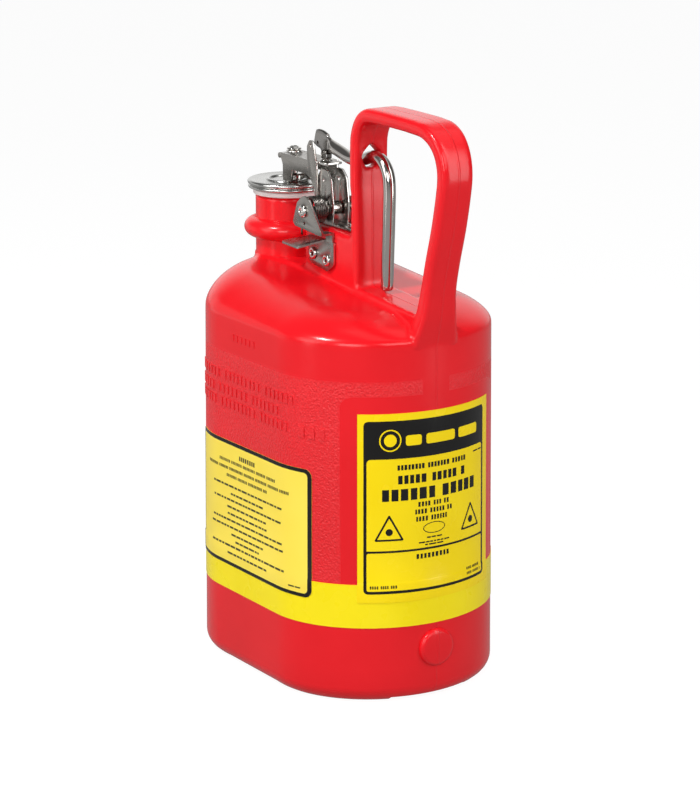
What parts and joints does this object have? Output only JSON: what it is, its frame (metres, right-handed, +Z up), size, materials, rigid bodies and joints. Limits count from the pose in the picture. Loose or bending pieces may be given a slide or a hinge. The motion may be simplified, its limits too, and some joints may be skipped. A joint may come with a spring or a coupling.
{
  "type": "safety gas can",
  "caption": "Small oval safety can with a spring-closed hinged pour lid, a flame arrester in its neck and a trigger rod that runs through the top carrying handle.",
  "frame": {"origin": "on the ground plane under the centre of the whole object's box", "axes": "+Z up, +X from the pour neck towards the handle's rear leg, along the can's long side, +Y across the can"},
  "size_m": [0.2041, 0.1352, 0.3241],
  "materials": {
    "red_polyethylene": "glossy moulded polyethylene with a fine stipple on the walls",
    "yellow_band": "smooth reflective film",
    "end_label_film": "smooth printed film",
    "side_label_film": "smooth printed film",
    "brass_collar": "turned",
    "arrester_steel": "satin",
    "plate_steel": "satin pressed sheet with bright cut edges",
    "rivet_steel": "satin, slightly worn",
    "polished_steel": "polished",
    "lid_steel": "satin with a bright rolled rim",
    "rod_steel": "polished, lightly drawn along its length",
    "stud_steel": "dark oiled",
    "spring_steel": "dark drawn wire",
    "white_rubber": "soft matte"
  },
  "bodies": {
    "can": {"can_body": "red_polyethylene", "reflective_band": "yellow_band", "end_label": "end_label_film", "side_label_near": "side_label_film", "side_label_far": "side_label_film", "arrester_collar": "brass_collar", "flame_arrester": "arrester_steel", "hinge_plate_near": "plate_steel", "hinge_plate_far": "plate_steel", "plate_rivet_front": "rivet_steel", "plate_rivet_rear": "rivet_steel", "hinge_clevis": "plate_steel", "clevis_rivet": "rivet_steel", "hinge_pin": "rivet_steel", "pin_collar": "polished_steel", "torsion_spring": "spring_steel"},
    "lid": {"lid_arm": "plate_steel", "lid_cap": "lid_steel", "lid_gasket": "white_rubber", "gasket_retainer": "arrester_steel", "lid_rivet": "polished_steel", "rivet_washer": "polished_steel", "stud_washer": "polished_steel", "swivel_stud": "stud_steel", "rod_pivot_pin": "polished_steel"},
    "rod": {"trigger_rod": "rod_steel"}
  },
  "joints": [
    {"name": "lid_hinge", "type": "hinge", "parent": "can", "child": "lid", "pos_m": [-0.0237, 0, 0.2598], "axis": [0, 1, 0], "range_deg": [0, 30], "stiffness_Nm_per_rad": 0.5, "springref_deg": -40.11},
    {"name": "rod_pivot", "type": "hinge", "parent": "lid", "child": "rod", "pos_m": [-0.0307, 0, 0.2899], "axis": [0, 1, 0], "range_deg": [-38, 0]}
  ],
  "couplings": [
    {"joint": "rod_pivot", "follows": "lid_hinge", "ratio": -1.25}
  ]
}
